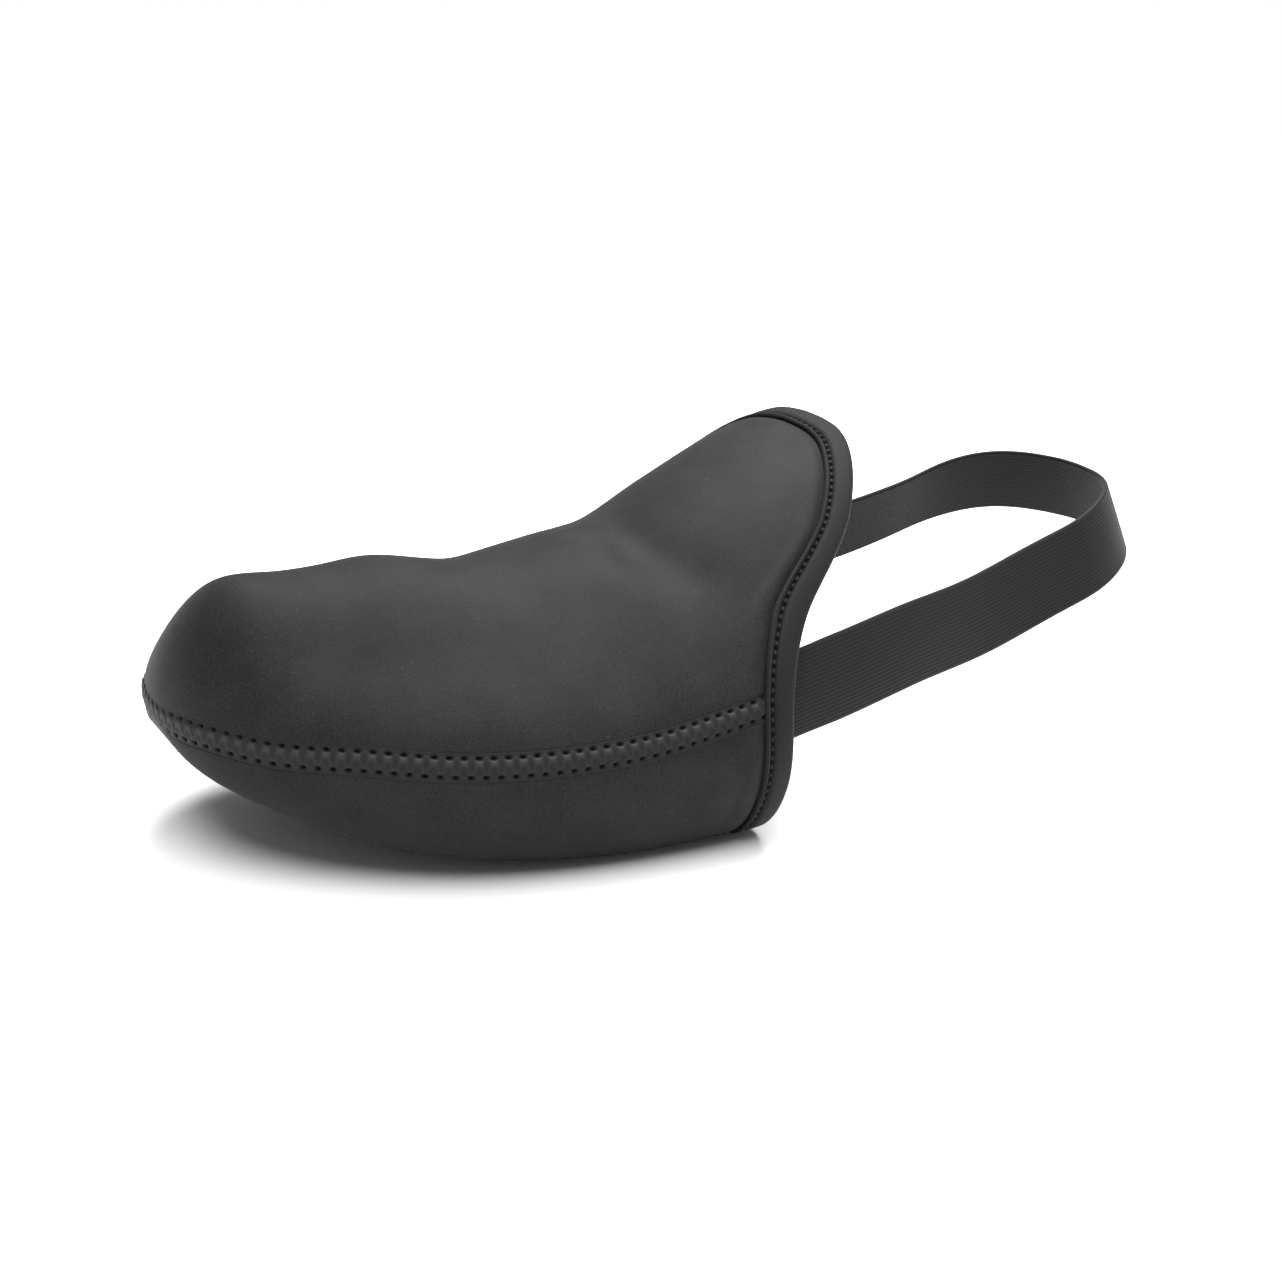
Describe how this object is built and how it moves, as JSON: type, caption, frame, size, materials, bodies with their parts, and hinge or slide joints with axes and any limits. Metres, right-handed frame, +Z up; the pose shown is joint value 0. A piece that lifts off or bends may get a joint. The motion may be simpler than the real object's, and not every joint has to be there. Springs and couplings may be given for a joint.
{
  "type": "cycling overshoe",
  "caption": "Neoprene toe cover worn over a left cycling shoe, with a sewn sole panel, a bound opening over the instep and a flat elastic strap round the heel.",
  "frame": {"origin": "under the middle of the overshoe's box, on the floor it stands on", "axes": "-X points to the toe, +X to the heel, -Y to the outer side of the left foot, +Z up"},
  "size_m": [0.2816, 0.1108, 0.0947],
  "materials": {
    "neoprene": "black jersey-faced neoprene, matt with a soft sheen",
    "sole_neoprene": "black jersey-faced neoprene, matt",
    "binding_tape": "black stretch tape, smooth and matt",
    "ribbed_elastic": "black woven elastic with fine lengthwise ribs"
  },
  "bodies": {
    "root": {"upper": "neoprene", "sole": "sole_neoprene", "opening_binding": "binding_tape", "heel_strap": "ribbed_elastic"}
  },
  "joints": []
}
